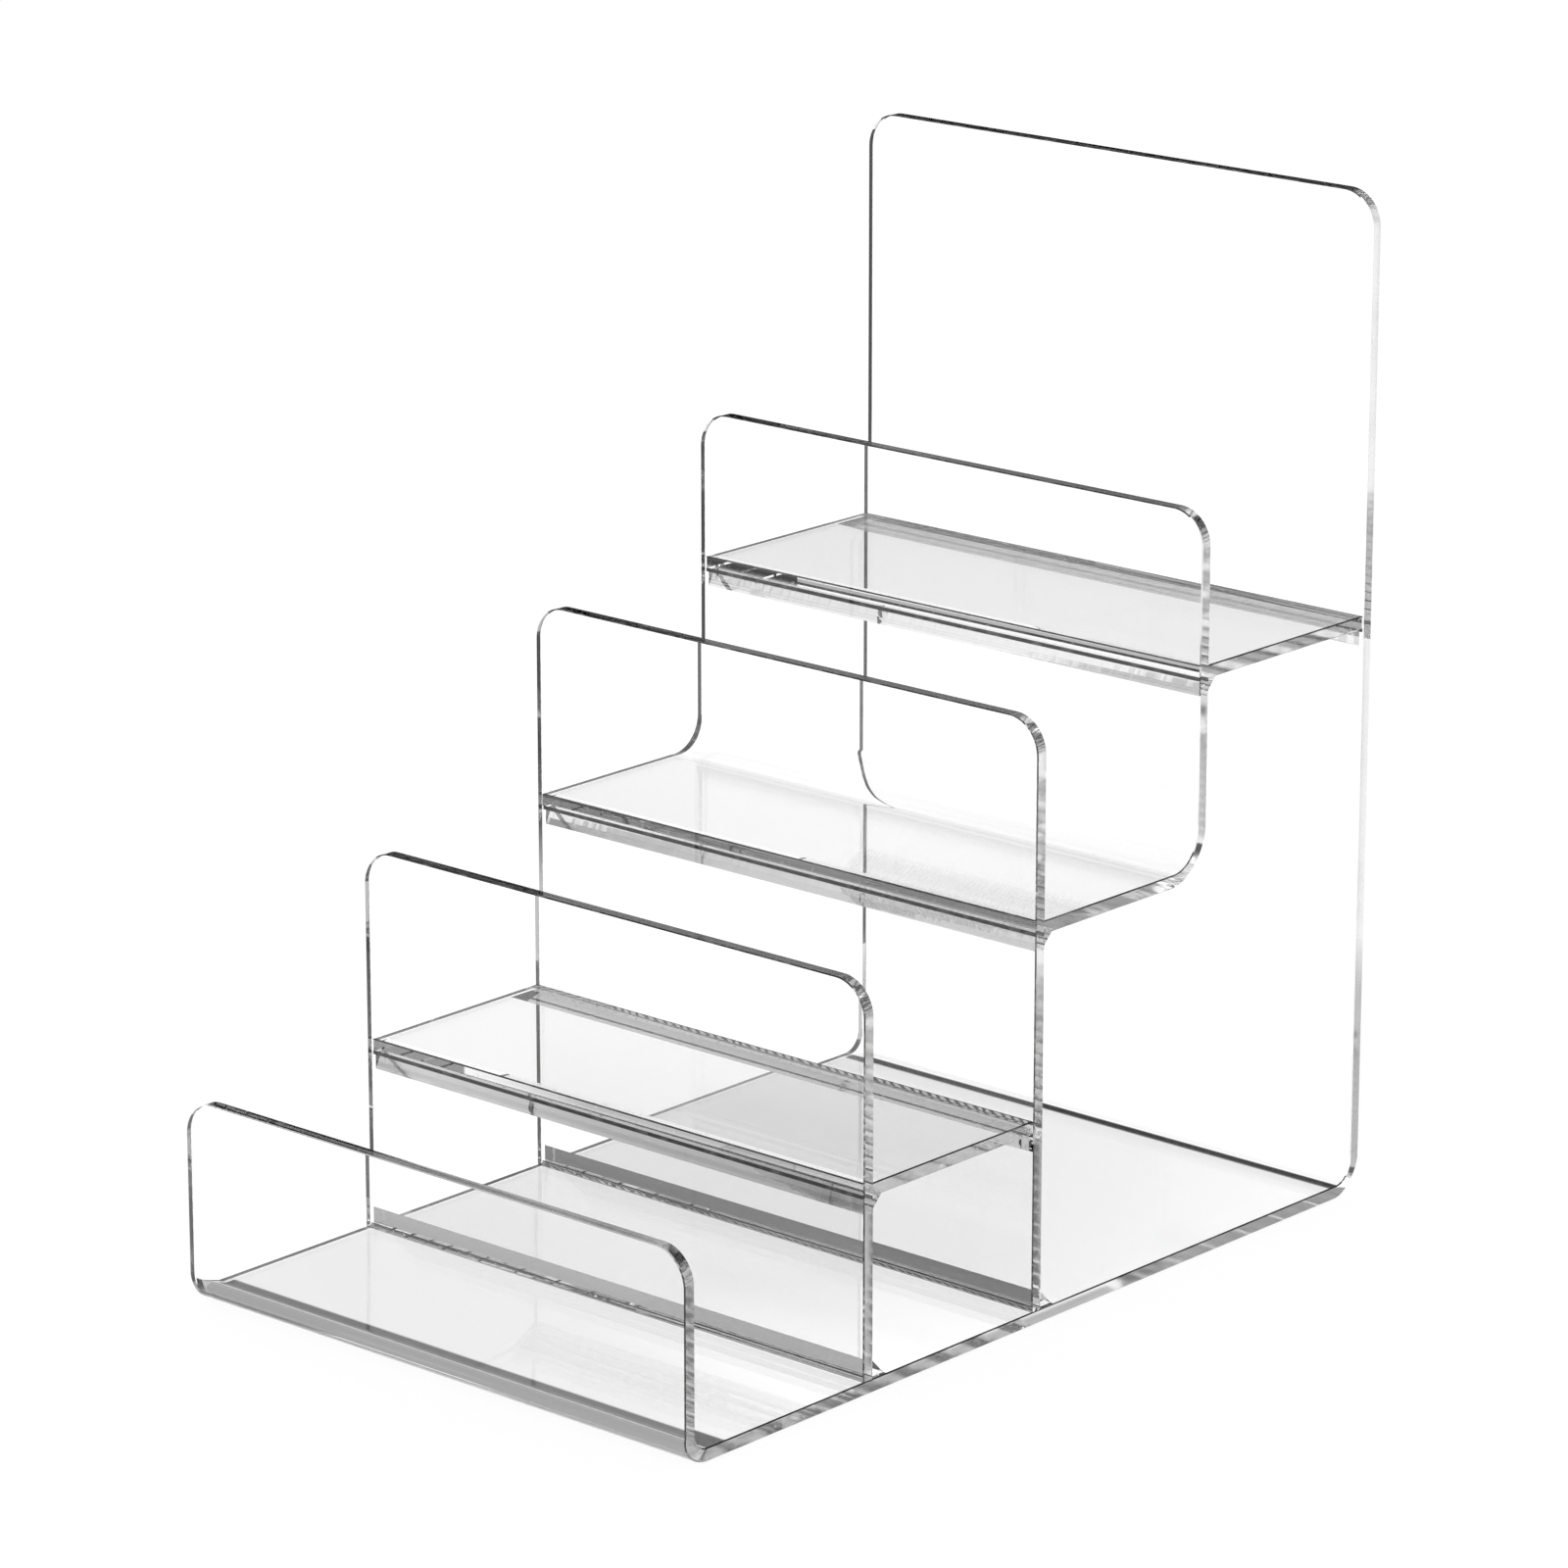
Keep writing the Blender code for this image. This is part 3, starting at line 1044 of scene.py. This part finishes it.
class RISER_OT_stage(bpy.types.Operator):
    """Set up the floor, the light and the camera"""

    bl_idname = "display_riser.stage"
    bl_label = "Stage"

    def execute(self, context):
        self.light_room(context.scene)
        self.lay_floor(context.scene)
        self.place_camera(context.scene)
        context.scene.view_settings.view_transform = "Standard"
        most_bounces, most_of_a_kind = 96, 64
        cycles = context.scene.cycles
        cycles.max_bounces = most_bounces
        cycles.transmission_bounces = most_of_a_kind
        cycles.glossy_bounces = most_of_a_kind
        cycles.transparent_max_bounces = most_of_a_kind
        return {"FINISHED"}

    def light_room(self, scene):
        world = bpy.data.worlds.new("studio")
        world.use_nodes = True
        graph = Graph(world.node_tree)
        values = {"Color": (1, 1, 1, 1), "Strength": room_light(graph)}
        shader = graph.node("ShaderNodeBackground", {}, values)["Background"]
        graph.node("ShaderNodeOutputWorld", {}, {"Surface": shader})
        world.cycles.sampling_method = "NONE"
        scene.world = world

    def lay_floor(self, scene):
        half, depth = 20.0, 0.4 * MM
        black, dark_grey = (0, 0, 0, 1), (0.1, 0.1, 0.1, 1)
        mesh = bpy.data.meshes.new("floor")
        corners = [(x, y, -depth) for x, y in ((-half, -half), (half, -half), (half, half), (-half, half))]
        mesh.from_pydata(corners, [], [(0, 1, 2, 3)])
        floor = bpy.data.objects.new("floor", mesh)
        scene.collection.objects.link(floor)
        paint = bpy.data.materials.new("studio_floor")
        paint.use_nodes = True
        graph = Graph(paint.node_tree)
        strength, shown = table_light(graph)
        glow = graph.node("ShaderNodeEmission", {}, {"Color": (1, 1, 1, 1), "Strength": strength})["Emission"]
        grey = graph.blend(shown, black, dark_grey)
        matt = graph.node("ShaderNodeBsdfDiffuse", {}, {"Color": grey})["BSDF"]
        both = graph.node("ShaderNodeAddShader", {}, {0: glow, 1: matt})["Shader"]
        graph.node("ShaderNodeOutputMaterial", {}, {"Surface": both})
        paint.cycles.emission_sampling = "NONE"
        mesh.materials.append(paint)

    def place_camera(self, scene):
        settings = scene.riser_stage
        lens = bpy.data.cameras.new("camera")
        camera = bpy.data.objects.new("camera", lens)
        scene.collection.objects.link(camera)
        level = math.cos(settings.elevation)
        look = Vector((-math.sin(settings.azimuth) * level, math.cos(settings.azimuth) * level,
                       -math.sin(settings.elevation)))
        camera.location = Vector(settings.target) - look * settings.distance
        camera.rotation_euler = look.to_track_quat("-Z", "Y").to_euler()
        lens.lens = settings.focal_length
        lens.sensor_width = 36.0
        scene.camera = camera


class RISER_PT_panel(bpy.types.Panel):
    """Buttons that build the stand piece by piece"""

    bl_idname = "RISER_PT_panel"
    bl_label = "Display Riser"
    bl_space_type = "VIEW_3D"
    bl_region_type = "UI"
    bl_category = "Display Riser"

    def draw(self, context):
        for operator in OPERATORS:
            self.layout.operator(operator.bl_idname)


OPERATORS = (RISER_OT_base_sheet, RISER_OT_uprights, RISER_OT_flat_shelves, RISER_OT_bent_shelf,
             RISER_OT_corner_strips, RISER_OT_cement, RISER_OT_stage)
CLASSES = (SheetSettings, FinishSettings, StageSettings) + OPERATORS + (RISER_PT_panel,)


def register():
    for item in CLASSES:
        bpy.utils.register_class(item)
    bpy.types.Scene.riser_sheets = bpy.props.PointerProperty(type=SheetSettings)
    bpy.types.Scene.riser_finishes = bpy.props.PointerProperty(type=FinishSettings)
    bpy.types.Scene.riser_stage = bpy.props.PointerProperty(type=StageSettings)


def unregister():
    del bpy.types.Scene.riser_stage
    del bpy.types.Scene.riser_finishes
    del bpy.types.Scene.riser_sheets
    for item in reversed(CLASSES):
        bpy.utils.unregister_class(item)


def main():
    register()
    bpy.ops.display_riser.base_sheet()
    bpy.ops.display_riser.uprights()
    bpy.ops.display_riser.flat_shelves()
    bpy.ops.display_riser.bent_shelf()
    bpy.ops.display_riser.corner_strips()
    bpy.ops.display_riser.cement()
    bpy.ops.display_riser.stage()


if __name__ == "__main__":
    main()
